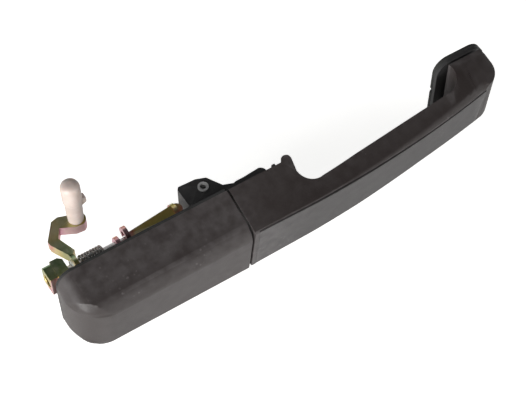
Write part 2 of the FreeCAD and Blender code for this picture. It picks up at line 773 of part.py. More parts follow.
def pad_outline():
    half = S.pad_length * 0.5
    return rounded_loop(S.pad_middle - half, S.pad_middle + half, -S.half_height,
                        S.half_height, S.pad_corner)


def make_front_bearing():
    """Plate on the door skin with two lugs that hold the hinge pin."""
    body = new_body("front_bearing")
    start = S.plate_start
    pad(body, "XZ", start, start + S.plate_thick, pad_outline())
    along, inward = S.hinge_along, S.hinge_inward
    for low, high in ((LUG_START, LUG_END), (-LUG_END, -LUG_START)):
        pad(body, "XY", low, high, [
            (along + 3.6, start + 0.5), (along - 3.6, start + 0.5), (along - 3.6, inward),
            ((along, inward - 3.6), (along + 3.6, inward))])
    pocket(body, "XY", -LUG_END, LUG_END, ("circle", (along, inward), S.hinge_radius))
    for up in HOOK_SCREWS:
        pocket(body, "XZ", start - 0.6, start + S.plate_thick,
               ("circle", (along, up), S.screw_shank))
    place(body)
    return body


HOOK_SCREWS = [-11.7, 11.7]


def make_front_pad():
    """Rubber pad between the bearing plate and the door skin, notched on its rear edge."""
    body = new_body("front_pad")
    low = S.plate_start + S.plate_thick
    pad(body, "XZ", low, low + S.pad_thick, pad_outline())
    rear = S.pad_middle - S.pad_length * 0.5
    pocket(body, "XZ", low, low + S.pad_thick, [
        (rear - 1, -0.4), (rear, 0.2), (rear + 1.1, 1.4), (rear, 3.0), (rear - 1, 3.4)])
    # window for the hook's plate
    pocket(body, "XZ", low, low + S.pad_thick, box_loop(128.7, 140.3, -15.8, 15.8))
    place(body)
    return body


def make_front_hook():
    """Pressed steel hook that catches behind the door skin's edge."""
    body = new_body("front_hook")
    back = S.plate_start + S.plate_thick
    pad(body, "XZ", back, back + 1.5, box_loop(129, 140, -15.5, 15.5))
    pad(body, "XY", -8, 8, [
        (138.5, back), (140, back), (140, back + 5.8), (145, back + 5.8), (145, back + 7.3),
        (138.5, back + 7.3)])
    for up in HOOK_SCREWS:
        pocket(body, "XZ", back, back + 1.5, ("circle", (S.hinge_along, up), S.screw_shank + 0.2))
    place(body)
    return body


def make_hook_screws():
    back = S.plate_start + S.plate_thick + 1.5
    screws = [screw("Y", (S.hinge_along, back, up), 3.8, towards=-1) for up in HOOK_SCREWS]
    node = group("hook_screws", screws)
    place(node)
    return node


# ---------------------------------------------------------------- build, check and write
NODES = [
    make_end_cap(), make_rear_gasket(), make_mounting_bracket(), make_fixing_block(),
    make_bracket_screws(), make_relay_rod(), make_rod_washer(), make_return_spring(),
    make_relay_lever(), make_relay_bushes(), make_finger_sleeve(), make_rod_clip(),
    make_grip_shell(), make_face_strip(), make_stiffener_bar(), make_pull_arm(),
    make_hollow_pin(), make_pull_arm_screws(), make_rest_bumper(), make_pivot_block(),
    make_pivot_bushes(), make_pivot_pin(), make_front_bearing(), make_front_pad(),
    make_front_hook(), make_hook_screws(),
]

doc.recompute()
for item in doc.Objects:
    if "Invalid" in item.State or "Error" in item.State:
        raise RuntimeError(f"{item.Name} failed: {item.State}")

os.makedirs("parts", exist_ok=True)
for node in NODES:
    if node.Shape.isNull() or not node.Shape.isValid():
        raise RuntimeError(f"{node.Label} has no valid shape")
    node.Shape.exportStep(f"parts/{node.Label}.step")
    print(f"{node.Label}: {len(node.Shape.Solids)} solids, {node.Shape.Volume:.0f} mm3")
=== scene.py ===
import math

import bmesh
import bpy
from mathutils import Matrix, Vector


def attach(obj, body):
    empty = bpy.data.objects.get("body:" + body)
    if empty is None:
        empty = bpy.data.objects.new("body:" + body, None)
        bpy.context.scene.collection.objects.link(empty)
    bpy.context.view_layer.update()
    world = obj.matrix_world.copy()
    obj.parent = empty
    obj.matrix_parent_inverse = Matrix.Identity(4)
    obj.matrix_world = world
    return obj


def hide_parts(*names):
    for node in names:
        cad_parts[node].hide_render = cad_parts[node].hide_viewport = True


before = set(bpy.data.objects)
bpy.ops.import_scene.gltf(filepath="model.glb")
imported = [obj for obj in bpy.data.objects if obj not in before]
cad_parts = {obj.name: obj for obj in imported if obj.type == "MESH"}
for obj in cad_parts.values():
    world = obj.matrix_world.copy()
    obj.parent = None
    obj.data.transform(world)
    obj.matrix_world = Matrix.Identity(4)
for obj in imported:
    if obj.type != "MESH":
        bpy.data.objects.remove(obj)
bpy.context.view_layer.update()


# ---------------------------------------------------------------- the studio
# The handle lies on a white table under a wide, soft tent. The tent is dark
# overhead, so the plastic's top side stays deep while its face picks up the table.

ORIGIN = Vector((-84.2, 9.5, 4.0))  # the fixing thread's mouth, from the middle of the split


def at(along, inward, up):
    """A place in the shared frame from millimetres along the car, into the door and up."""
    return (Vector((along, inward, up)) - ORIGIN) / 1000


TABLE_UP = -21.1
CAMERA_AIM = at(18.48, -2.35, 0)
CAMERA_PLACE = at(-176.2, -306.8, 516.1)
CAMERA_LENS = 95.6

bpy.ops.object.select_all(action="DESELECT")
bpy.ops.object.camera_add(location=CAMERA_PLACE)
camera = bpy.context.object
camera.name = "product_camera"
camera.rotation_euler = (CAMERA_AIM - CAMERA_PLACE).to_track_quat("-Z", "Y").to_euler()
camera.data.sensor_width = 36
camera.data.lens = CAMERA_LENS
camera.data.clip_start = 0.01
camera.data.dof.use_dof = False
bpy.context.scene.camera = camera


def add_panel(name, place, aim, width, height, power):
    """A soft rectangular lamp that faces aim."""
    bpy.ops.object.light_add(type="AREA", location=place)
    lamp = bpy.context.object
    lamp.name = name
    lamp.rotation_euler = (Vector(aim) - Vector(place)).to_track_quat("-Z", "Y").to_euler()
    lamp.data.shape = "RECTANGLE"
    lamp.data.size = width
    lamp.data.size_y = height
    lamp.data.energy = power
    return lamp


MIDDLE = (0.115, -0.01, 0.0)
add_panel("left_panel", (-0.80, -0.42, 0.28), MIDDLE, 0.7, 0.5, 13)
add_panel("right_panel", (0.95, -0.35, 0.30), MIDDLE, 0.8, 0.5, 2)
add_panel("back_panel", (-0.10, 1.0, 0.55), MIDDLE, 1.2, 0.6, 2.2)
add_panel("front_panel", (0.05, -1.05, 0.30), MIDDLE, 1.2, 0.4, 2.8)

bpy.ops.mesh.primitive_plane_add(size=6, location=(0.1, 0, at(0, 0, TABLE_UP).z))
table = bpy.context.object
table.name = "white_table"


def new_finish(name, colour, roughness, metallic=0.0):
    """A named material with its own shader and the three constants set on it."""
    finish = bpy.data.materials.new(name)
    finish.use_nodes = True
    shader = finish.node_tree.nodes["Principled BSDF"]
    shader.inputs["Base Color"].default_value = (*colour, 1)
    shader.inputs["Roughness"].default_value = roughness
    shader.inputs["Metallic"].default_value = metallic
    return finish, finish.node_tree, shader


white_paper, tree, paper_shader = new_finish("white_paper", (0.93, 0.93, 0.92), 0.9)
paper_shader.inputs["Emission Color"].default_value = (1, 1, 0.99, 1)
seen = tree.nodes.new("ShaderNodeLightPath").outputs["Is Camera Ray"]
glow = tree.nodes.new("ShaderNodeMapRange")
glow.inputs["To Min"].default_value = 0.35  # what the handle reflects
glow.inputs["To Max"].default_value = 0.80  # what the camera sees, burnt out
tree.links.new(seen, glow.inputs["Value"])
tree.links.new(glow.outputs["Result"], paper_shader.inputs["Emission Strength"])
table.data.materials.append(white_paper)
bpy.context.scene.view_settings.view_transform = "Standard"

world = bpy.data.worlds.new("tent")
bpy.context.scene.world = world
world.use_nodes = True
world.node_tree.nodes["Background"].inputs["Color"].default_value = (0.5, 0.5, 0.51, 1)
world.node_tree.nodes["Background"].inputs["Strength"].default_value = 0.10

# ---------------------------------------------------------------- end cap
# The fixed rear half of the handle: a hollow moulding in black polyamide with a
# fine spark-eroded grain. It is pulled onto the gasket by three self-tapping screws.

TOP_DROP = 0.3386  # fall of the top side towards the outside
FACE_TILT = 0.128  # lean of the outer face
SEAM_UP = 13.2  # height of the edge between the top side and the outer face
HALF_HEIGHT = 21
FACE = -23.4
CAP_REAR, CAP_BACK = -84.0, -1.5
NOSE_ROUND, CORNER_ROUND, TOP_ROUND, LOW_ROUND = 17, 8.5, 6.5, 3.0
CAP_WALL, RIM_ROUND = 2.8, 0.3
BOSSES = ((-72, -16.5, -11), (-55.5, -18.3, -11), (-63, -13.5, 12.5))  # along, foot, up
BOSS_RADIUS, BOSS_BORE, BOSS_ROUND = 3.2, 1.3, 0.2
BOSS_END, BOSS_HOLE = -3.5, 6.5


def start(name, add, **size):
    """Adds a primitive as a new piece and opens it for shaping."""
    bpy.ops.object.select_all(action="DESELECT")
    add(**size)
    piece = bpy.context.object
    piece.name = piece.data.name = name
    bpy.ops.object.mode_set(mode="EDIT")
    return piece


def start_block(name, low, high):
    """A box between two corners given in millimetres."""
    low, high = at(*low), at(*high)
    return start(name, bpy.ops.mesh.primitive_cube_add, size=1,
                 location=(low + high) / 2, scale=high - low)


def pick(piece, kind, wanted):
    """Selects the verts, edges or faces whose middle, in millimetres, is wanted."""
    bpy.ops.mesh.select_mode(type={"verts": "VERT", "edges": "EDGE", "faces": "FACE"}[kind])
    bpy.ops.mesh.select_all(action="DESELECT")
    mesh = bmesh.from_edit_mesh(piece.data)
    for item in getattr(mesh, kind):
        if kind == "verts":
            middle = item.co.copy()
        elif kind == "edges":
            middle = (item.verts[0].co + item.verts[1].co) / 2
        else:
            middle = item.calc_center_median()
        place = (piece.matrix_world @ middle) * 1000 + ORIGIN
        if wanted(place, item):
            item.select_set(True)
    mesh.select_flush_mode()
    bmesh.update_edit_mesh(piece.data)


def shift(along=0.0, inward=0.0, up=0.0):
    """Moves what is selected by millimetres."""
    bpy.ops.transform.translate(value=Vector((along, inward, up)) / 1000)


def close_up(piece):
    """Leaves edit mode with the piece's place in its mesh."""
    bpy.ops.object.mode_set(mode="OBJECT")
    bpy.ops.object.transform_apply(location=True, rotation=True, scale=True)
    return piece


def finish_with(piece, kind, **settings):
    """Adds one modifier and applies it."""
    bpy.ops.object.select_all(action="DESELECT")
    piece.select_set(True)
    bpy.context.view_layer.objects.active = piece
    extra = piece.modifiers.new(kind.lower(), kind)
    for setting, value in settings.items():
        setattr(extra, setting, value)
    bpy.ops.object.modifier_apply(modifier=extra.name)


def smooth(piece, degrees=32):
    """Rounds the shading over every edge flatter than this."""
    bpy.ops.object.select_all(action="DESELECT")
    piece.select_set(True)
    bpy.context.view_layer.objects.active = piece
    bpy.ops.object.shade_smooth_by_angle(angle=math.radians(degrees))
    finish_with(piece, "WEIGHTED_NORMAL", keep_sharp=True, weight=80)


def top_at(inward):
    """Height of the handle's top side."""
    return HALF_HEIGHT + TOP_DROP * min(inward, 0)


def weigh(piece, wanted, weight):
    """Sets how far the bevel modifier rounds the chosen edges."""
    pick(piece, "edges", wanted)
    bpy.ops.transform.edge_bevelweight(value=weight)


def join(piece, extra):
    """Makes a moulded-on detail part of the piece."""
    bpy.ops.object.select_all(action="DESELECT")
    extra.select_set(True)
    piece.select_set(True)
    bpy.context.view_layer.objects.active = piece
    bpy.ops.object.join()


seam_inward = FACE - 0.015 + (SEAM_UP - top_at(FACE)) * FACE_TILT
cap = start_block("end_cap_shell", (CAP_REAR, seam_inward, -HALF_HEIGHT),
                  (0, CAP_BACK, top_at(CAP_BACK)))
pick(cap, "verts", lambda p, _: p.y < -12 and p.z > 0)
shift(up=top_at(seam_inward) - top_at(CAP_BACK))
pick(cap, "verts", lambda p, _: p.y < -12 and p.z < 0)
shift(inward=(SEAM_UP + HALF_HEIGHT) * FACE_TILT)
weigh(cap, lambda p, _: p.x < -80 and p.y < -15 and abs(p.z) < 12, 1.0)
weigh(cap, lambda p, _: p.x < -80 and -15 < p.y < -5, CORNER_ROUND / NOSE_ROUND)
weigh(cap, lambda p, _: abs(p.x + 42) < 2 and p.y < -15 and p.z > 0, TOP_ROUND / NOSE_ROUND)
weigh(cap, lambda p, _: abs(p.x + 42) < 2 and p.y < -15 and p.z < 0, LOW_ROUND / NOSE_ROUND)
close_up(cap)
finish_with(cap, "BEVEL", width=NOSE_ROUND / 1000, segments=12, limit_method="WEIGHT",
            use_clamp_overlap=False)
bpy.ops.object.mode_set(mode="EDIT")
pick(cap, "faces", lambda p, face: face.normal.y > 0.99 or face.normal.x > 0.99)
bpy.ops.mesh.delete(type="FACE")
bpy.ops.object.mode_set(mode="OBJECT")
finish_with(cap, "SOLIDIFY", thickness=CAP_WALL / 1000, offset=-1, use_even_offset=True)
finish_with(cap, "BEVEL", width=RIM_ROUND / 1000, segments=2, limit_method="ANGLE",
            angle_limit=math.radians(50))
smooth(cap)
for along, deep, up in BOSSES:
    boss = start("cap_boss", bpy.ops.mesh.primitive_circle_add, vertices=24,
                 radius=BOSS_RADIUS / 1000, fill_type="NGON", location=at(along, deep, up),
                 rotation=(math.radians(90), 0, 0))
    length = (BOSS_END - deep) / 1000
    bpy.ops.mesh.extrude_region_move(TRANSFORM_OT_translate={"value": (0, length, 0)})
    bpy.ops.mesh.inset(thickness=(BOSS_RADIUS - BOSS_BORE) / 1000)
    bpy.ops.mesh.extrude_region_move(TRANSFORM_OT_translate={"value": (0, -BOSS_HOLE / 1000, 0)})
    bpy.ops.mesh.select_all(action="SELECT")
    bpy.ops.mesh.normals_make_consistent(inside=False)
    close_up(boss)
    finish_with(boss, "BEVEL", width=BOSS_ROUND / 1000, segments=2, limit_method="ANGLE",
                angle_limit=math.radians(50))
    smooth(boss)
    join(cap, boss)


def put(tree, kind, inputs=None, **options):
    """Adds a node, sets its options and fills its inputs with values or other outputs."""
    node = tree.nodes.new(kind)
    for option, value in options.items():
        setattr(node, option, value)
    for name, value in (inputs or {}).items():
        if isinstance(value, bpy.types.NodeSocket):
            tree.links.new(value, node.inputs[name])
        else:
            node.inputs[name].default_value = value
    return node


def new_effect(name, inputs, outputs):
    """An empty shader group with named number inputs and outputs."""
    tree = bpy.data.node_groups.new(name, "ShaderNodeTree")
    for socket in inputs:
        tree.interface.new_socket(socket, in_out="INPUT", socket_type="NodeSocketFloat")
    for socket in outputs:
        tree.interface.new_socket(socket, in_out="OUTPUT", socket_type="NodeSocketFloat")
    return tree, tree.nodes.new("NodeGroupInput"), tree.nodes.new("NodeGroupOutput")


def use_effect(tree, effect, **values):
    """Places a group in a material with its own values."""
    node = put(tree, "ShaderNodeGroup", node_tree=effect)
    for name, value in values.items():
        node.inputs[name.replace("_", " ").capitalize()].default_value = value
    return node


def ramp(tree, factor, stops):
    """A colour ramp from places and colours."""
    node = put(tree, "ShaderNodeValToRGB", {"Fac": factor})
    elements = node.color_ramp.elements
    elements[0].position, elements[1].position = stops[0][0], stops[-1][0]
    for place, _ in stops[1:-1]:
        elements.new(place)
    for element, (_, colour) in zip(elements, stops):
        element.color = (*colour, 1)
    return node.outputs["Color"]


def fade(tree, value, low, high, to_low=0.0, to_high=1.0):
    """Spreads a value between two limits over another range."""
    return put(tree, "ShaderNodeMapRange", {"Value": value, "From Min": low, "From Max": high,
                                            "To Min": to_low, "To Max": to_high}).outputs["Result"]


def sums(tree, operation, first, second):
    """One sum or product of two values."""
    return put(tree, "ShaderNodeMath", {0: first, 1: second}, operation=operation).outputs[0]


# the grain of a spark-eroded mould, with slow drifts in its tone and dulling from touch
moulded_grain, entry, leave = new_effect("moulded_grain", ["Grain"], ["Height", "Mottle"])
where = put(moulded_grain, "ShaderNodeTexCoord").outputs["Object"]
pits = put(moulded_grain, "ShaderNodeTexVoronoi",
           {"Vector": where, "Scale": entry.outputs["Grain"]}, feature="SMOOTH_F1")
swell = put(moulded_grain, "ShaderNodeTexNoise",
            {"Vector": where, "Scale": entry.outputs["Grain"], "Detail": 3.0})
drift = put(moulded_grain, "ShaderNodeTexNoise", {"Vector": where, "Scale": 16.0, "Detail": 3.0,
                                                  "Roughness": 0.5})
moulded_grain.links.new(sums(moulded_grain, "ADD", pits.outputs["Distance"], swell.outputs["Fac"]),
                        leave.inputs["Height"])
moulded_grain.links.new(fade(moulded_grain, drift.outputs["Fac"], 0.34, 0.66),
                        leave.inputs["Mottle"])

# bright rubbed edges and small pale scuffs, where hands, keys and other parts knock
handling_wear, entry, leave = new_effect("handling_wear", ["Rubbing", "Knocks"],
                                         ["Edges", "Scuffs"])
where = put(handling_wear, "ShaderNodeTexCoord").outputs["Object"]
pointed = put(handling_wear, "ShaderNodeNewGeometry").outputs["Pointiness"]
breakup = put(handling_wear, "ShaderNodeTexNoise", {"Vector": where, "Scale": 220.0, "Detail": 4.0})
rubbed = sums(handling_wear, "MULTIPLY", fade(handling_wear, pointed, 0.505, 0.56),
              fade(handling_wear, breakup.outputs["Fac"], 0.3, 0.62, 0.35, 1.0))
handling_wear.links.new(sums(handling_wear, "MULTIPLY", rubbed, entry.outputs["Rubbing"]),
                        leave.inputs["Edges"])
specks = put(handling_wear, "ShaderNodeTexVoronoi", {"Vector": where, "Scale": 520.0})
places = put(handling_wear, "ShaderNodeTexNoise", {"Vector": where, "Scale": 46.0, "Detail": 2.0})
scuffed = sums(handling_wear, "MULTIPLY",
               fade(handling_wear, specks.outputs["Distance"], 0.34, 0.16),
               fade(handling_wear, places.outputs["Fac"], 0.63, 0.69))
handling_wear.links.new(sums(handling_wear, "MULTIPLY", scuffed, entry.outputs["Knocks"]),
                        leave.inputs["Scuffs"])


def mix(tree, factor, first, second):
    """Blends two colours."""
    node = put(tree, "ShaderNodeMix", data_type="RGBA")
    for place, value in ((0, factor), (6, first), (7, second)):
        if isinstance(value, bpy.types.NodeSocket):
            tree.links.new(value, node.inputs[place])
        else:
            node.inputs[place].default_value = value if place == 0 else (*value, 1)
    return node.outputs[2]


def mould_plastic(name, deep, pale, worn, grain, depth, gloss, rubbing=0.6, knocks=0.5):
    """A grained moulding: two tones, rubbed edges, scuffs, and a bump of the grain."""
    finish, tree, shader = new_finish(name, deep, gloss[0])
    skin = use_effect(tree, moulded_grain, grain=grain)
    marks = use_effect(tree, handling_wear, rubbing=rubbing, knocks=knocks)
    tone = mix(tree, skin.outputs["Mottle"], deep, pale)
    tone = mix(tree, marks.outputs["Edges"], tone, worn)
    tone = mix(tree, marks.outputs["Scuffs"], tone, tuple(min(1, 2.2 * c) for c in worn))
    tree.links.new(tone, shader.inputs["Base Color"])
    tree.links.new(fade(tree, skin.outputs["Mottle"], 0, 1, *gloss), shader.inputs["Roughness"])
    bump = put(tree, "ShaderNodeBump", {"Height": skin.outputs["Height"], "Strength": depth,
                                        "Distance": 0.00012})
    tree.links.new(bump.outputs["Normal"], shader.inputs["Normal"])
    return finish


def dress(piece, finish):
    """Puts a finish in the piece's own slots."""
    if not piece.material_slots:
        piece.data.materials.append(finish)
    for slot in piece.material_slots:
        slot.material = finish


def dress_nodes(finish, *names):
    """Gives CAD nodes whose shape stays their finish."""
    for name in names:
        dress(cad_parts[name], finish)


black_plastic = mould_plastic("black_plastic", (0.023, 0.0165, 0.0155), (0.029, 0.022, 0.0205),
                              (0.11, 0.10, 0.10), 2600.0, 0.30, (0.40, 0.47))
dress(cap, black_plastic)
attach(cap, "chassis")
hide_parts("end_cap")


# ---------------------------------------------------------------- grip shell
# The moving half: the same grained polyamide, thick where it meets the cap, then a
# slim bar bowed outwards, then a foot that hinges in the front bearing.

GRIP_START = 1.2
FRONT_CORNER = ((128, -14.5), (138, -11.6), (143.6, -4))  # lower front corner, along and up
UNDERSIDE = ((0, -14.4, -21.8), (60, -6.2, -23.2), (98, 1.5, -23.2), (150, 6.0, -22.4))
UNDER_OUTER, UNDER_INNER = -40, 5.5
EDGE_ROUND = 0.9
TOP_EDGE_ROUND = (1.1, 3.4)  # the soft edge above the seam, at the base and at the foot
STATIONS = [15, 28, 40, 50, 60, 70, 80, 90, 98, 106, 113, 120, 124, 128, 131, 134, 136, 138, 140]


def arc(first, middle, last, steps):
    """Points of the arc through three points, without the first."""
    (ax, ay), (bx, by), (cx, cy) = first, middle, last
    turn = 2 * (ax * (by - cy) + bx * (cy - ay) + cx * (ay - by))
    a2, b2, c2 = ax * ax + ay * ay, bx * bx + by * by, cx * cx + cy * cy
    ox = (a2 * (by - cy) + b2 * (cy - ay) + c2 * (ay - by)) / turn
    oy = (a2 * (cx - bx) + b2 * (ax - cx) + c2 * (bx - ax)) / turn
    begin = math.atan2(ay - oy, ax - ox)
    through = (math.atan2(by - oy, bx - ox) - begin) % math.tau
    sweep = (math.atan2(cy - oy, cx - ox) - begin) % math.tau
    if through > sweep:
        sweep -= math.tau
    radius = math.hypot(ax - ox, ay - oy)
    return [(ox + radius * math.cos(begin + sweep * i / steps),
             oy + radius * math.sin(begin + sweep * i / steps)) for i in range(1, steps + 1)]


def start_outline(name, points, up):
    """Draws a closed plan outline one vertex after another and fills it."""
    piece = start(name, bpy.ops.mesh.primitive_plane_add, size=0.001, location=at(*points[0], up))
    bpy.ops.mesh.select_mode(type="VERT")
    bpy.ops.mesh.select_all(action="SELECT")
    bpy.ops.mesh.merge(type="CENTER")
    for here, there in zip(points, points[1:]):
        step = Vector((there[0] - here[0], there[1] - here[1], 0)) / 1000
        bpy.ops.mesh.extrude_region_move(TRANSFORM_OT_translate={"value": step})
    bpy.ops.mesh.select_all(action="SELECT")
    bpy.ops.mesh.edge_face_add()
    return piece


def raise_by(height):
    """Pulls the filled outline up into a solid."""
    bpy.ops.mesh.extrude_region_move(TRANSFORM_OT_translate={"value": (0, 0, height / 1000)})
    bpy.ops.mesh.select_all(action="SELECT")
    bpy.ops.mesh.normals_make_consistent(inside=False)


def slice_at(places):
    """Cuts edge rings across the piece at these places along the car."""
    for along in places:
        bpy.ops.mesh.select_all(action="SELECT")
        bpy.ops.mesh.bisect(plane_co=at(along, 0, 0), plane_no=(1, 0, 0))


def trim_top():
    """Cuts away everything above the sloping top side."""
    bpy.ops.mesh.select_all(action="SELECT")
    bpy.ops.mesh.bisect(plane_co=at(0, 0, HALF_HEIGHT), plane_no=(0, -TOP_DROP, 1),
                        use_fill=True, clear_outer=True)


def between(value, low, high, first, last):
    """The value's share of the way from low to high, laid between first and last."""
    return first + (last - first) * (value - low) / (high - low)


def corner_up(along):
    """Height of the rounded lower front corner."""
    curve = [FRONT_CORNER[0]] + arc(*FRONT_CORNER, 24)
    for (x0, z0), (x1, z1) in zip(curve, curve[1:]):
        if x0 <= along <= x1:
            return between(along, x0, x1, z0, z1)
    return curve[0][1] if along < curve[0][0] else curve[-1][1]


def under_at(along, inward):
    """Height of the underside, which climbs outwards more and more towards the front."""
    for (x0, o0, i0), (x1, o1, i1) in zip(UNDERSIDE, UNDERSIDE[1:]):
        if x0 <= along <= x1:
            outer, inner = between(along, x0, x1, o0, o1), between(along, x0, x1, i0, i1)
    height = max(between(inward, UNDER_OUTER, UNDER_INNER, outer, inner), -HALF_HEIGHT)
    if inward < -6 and along > FRONT_CORNER[0][0]:
        height = max(height, corner_up(along))
    return height


def lean(along, inward):
    """Share of the face's tilt that a point of the outline takes."""
    if along > 136:
        return between(along, 136, 142.6, 1.0, 0.4) if inward < -4 else 0
    return 1.0 if inward < face_line(along) + 2.5 else 0


def face_line(along):
    """The outer face's plan line at the seam's height."""
    for (x0, y0), (x1, y1) in zip(OUTER_LINE, OUTER_LINE[1:]):
        if x0 <= along <= x1:
            return between(along, x0, x1, y0, y1)
    return 0


def set_bottom(piece, height_at):
    """Brings the bottom's vertices to their height and leans the outer face."""
    mesh = bmesh.from_edit_mesh(piece.data)
    turned = piece.matrix_world.inverted()
    for v in mesh.verts:
        place = (piece.matrix_world @ v.co) * 1000 + ORIGIN
        if place.z > -HALF_HEIGHT + 0.5:
            continue
        share = lean(place.x, place.y)
        for _ in range(3):
            inward = place.y + share * FACE_TILT * (SEAM_UP - place.z)
            place.z = height_at(place.x, inward)
        v.co = turned @ at(place.x, inward, place.z)
    bmesh.update_edit_mesh(piece.data)


OUTER_LINE = ([(GRIP_START, FACE), (18, -23.65), (34, -23.9)]
              + arc((34, -23.9), (90, -20.5), (136, -13.3), 26)  # the bowed bar
              + arc((136, -13.3), (140.8, -10.6), (142.6, -5.2), 8))  # the foot's corner
INNER_LINE = ([(141.9, 3.5), (133, 3.5), (124, 3.5)]
              + arc((124, 3.5), (122.6, -4.8), (117, -8.4), 9)  # the foot's root
              + arc((117, -8.4), (98, -9.8), (78, -11.5), 8)
              + [(69, -12.25), (60, -13)]
              + arc((60, -13), (50, -14), (42, -14.6), 5)
              + arc((42, -14.6), (35.2, -13), (32.4, -7.8), 9)  # the fingers' recess
              + [(33.4, -1.8)]
              + arc((33.4, -1.8), (31.3, 0.8), (28.4, -1.5), 9)  # the horn's tip
              + [(GRIP_START, -1.5)])

shell = start_outline("grip_shell_bar", OUTER_LINE + INNER_LINE, -HALF_HEIGHT)
raise_by(2 * HALF_HEIGHT)
trim_top()
slice_at(STATIONS)
set_bottom(shell, under_at)
for near, far in zip([0] + STATIONS, STATIONS + [150]):
    middle = (near + far) / 2
    wide = between(middle, 0, 134, *TOP_EDGE_ROUND) if middle < 134 else 0
    weigh(shell, lambda p, edge: near <= p.x < far and p.z > 11 and p.y < face_line(p.x) + 0.8
          and edge.calc_face_angle(0) > 0.6, wide / TOP_EDGE_ROUND[1])
close_up(shell)
finish_with(shell, "BEVEL", width=TOP_EDGE_ROUND[1] / 1000, segments=5, limit_method="WEIGHT",
            use_clamp_overlap=False)
finish_with(shell, "BEVEL", width=EDGE_ROUND / 1000, segments=3, limit_method="ANGLE",
            angle_limit=math.radians(48))
smooth(shell)
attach(shell, "grip")
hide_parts("grip_shell")

# ---------------------------------------------------------------- face strip
# A separate skin 1.8 mm thick, snapped into a shallow recess in the grip's outer
# face. Its top edge makes the fine dark seam below the handle's upper corner. The
# shell's own pockets, on its door side, are cut once the recess is in.

STRIP_START, STRIP_END, STRIP_TOP, STRIP_THICK = 3.4, 134.4, 12.5, 1.8
STRIP_ROUND, SEAM_GAP, END_GAP = 0.35, 0.45, 0.03
RECESS_LOW, RECESS_PROUD, RECESS_SPARE = -30, 1.0, 0.05  # how far its cutter runs past
POCKET_ROUND = 0.8
POCKETS = (((5.6, -12, -15.5), (20.4, 4, 12.5)),  # over the pull arm's seat
           ((23.4, -4, -14), (26.4, 4, 14)),  # for the bumper
           ((127.6, -6.8, -15.2), (139.8, 8, 15.6)))  # for the pivot block


def start_strip(name, first, last, proud, deep):
    """The strip's plan: the face line, and the same line a little further in."""
    outside = [(first, face_line(first) - proud)]
    outside += [(x, y - proud) for x, y in OUTER_LINE if first < x < last]
    outside += [(last, face_line(last) - proud)]
    inside = [(x, y + proud + deep) for x, y in reversed(outside)]
    return start_outline(name, outside + inside, -HALF_HEIGHT)


cutter = start_strip("strip_recess", STRIP_START - END_GAP, STRIP_END + END_GAP, RECESS_PROUD,
                     STRIP_THICK + RECESS_SPARE)
raise_by(HALF_HEIGHT + STRIP_TOP + SEAM_GAP)
set_bottom(cutter, lambda along, inward: RECESS_LOW)
close_up(cutter)
finish_with(shell, "BOOLEAN", operation="DIFFERENCE", object=cutter, solver="EXACT")
bpy.data.objects.remove(cutter)
for low, high in POCKETS:
    cutter = start_block("pocket", low, high)
    close_up(cutter)
    finish_with(cutter, "BEVEL", width=POCKET_ROUND / 1000, segments=3, limit_method="NONE")
    finish_with(shell, "BOOLEAN", operation="DIFFERENCE", object=cutter, solver="EXACT")
    bpy.data.objects.remove(cutter)
smooth(shell)
dress(shell, black_plastic)

strip = start_strip("face_strip_skin", STRIP_START, STRIP_END, 0, STRIP_THICK)
raise_by(HALF_HEIGHT + STRIP_TOP)
set_bottom(strip, under_at)
weigh(strip, lambda p, edge: edge.calc_face_angle(0) > 0.9
      and STRIP_START + 0.1 < p.x < STRIP_END - 0.1, 1.0)
close_up(strip)
finish_with(strip, "BEVEL", width=STRIP_ROUND / 1000, segments=3, limit_method="WEIGHT")
smooth(strip)
strip_plastic = mould_plastic("strip_plastic", (0.021, 0.018, 0.0175), (0.027, 0.024, 0.0235),
                              (0.13, 0.12, 0.12), 2600.0, 0.22, (0.40, 0.46), knocks=0.2)
dress(strip, strip_plastic)
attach(strip, "grip")
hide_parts("face_strip")


# ---------------------------------------------------------------- pull arm, block and bearing
# Glass-filled nylon in dull black, coarser than the handle's skin. They are screwed to
# the grip and to the door, and carry the hinge and the relay's driving pin.


def soften(node, name, body, finish, round_by, segments=2, sharp=40):
    """A merged copy of a CAD node with its hard edges rounded, in the node's place."""
    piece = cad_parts[node].copy()
    piece.data = piece.data.copy()
    piece.parent = None
    piece.name = piece.data.name = name
    for mark in [key for key in piece.keys() if key.startswith("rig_")]:
        del piece[mark]
    bpy.context.scene.collection.objects.link(piece)
    bpy.ops.object.select_all(action="DESELECT")
    piece.select_set(True)
    bpy.context.view_layer.objects.active = piece
    bpy.ops.object.mode_set(mode="EDIT")
    bpy.ops.mesh.select_all(action="SELECT")
    bpy.ops.mesh.remove_doubles(threshold=0.00001)
    bpy.ops.mesh.dissolve_limited(angle_limit=math.radians(1))
    bpy.ops.object.mode_set(mode="OBJECT")
    finish_with(piece, "BEVEL", width=round_by / 1000, segments=segments, limit_method="ANGLE",
                angle_limit=math.radians(sharp), miter_outer="MITER_ARC")
    smooth(piece)
    dress(piece, finish)
    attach(piece, body)
    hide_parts(node)
    return piece


arm_plastic = mould_plastic("arm_plastic", (0.013, 0.012, 0.012), (0.020, 0.019, 0.019),
                            (0.07, 0.07, 0.07), 1500.0, 0.35, (0.38, 0.52), knocks=0.8)
soften("pull_arm", "pull_arm_moulding", "grip", arm_plastic, 0.7, 3)
soften("pivot_block", "pivot_block_moulding", "grip", arm_plastic, 0.5)
soften("front_bearing", "bearing_moulding", "chassis", arm_plastic, 0.35)


# ---------------------------------------------------------------- rubber
# The gasket, the front pad and the bumper: matt black rubber with a little bloom,
# moulded to shape and held by the screws that pass through or behind it.

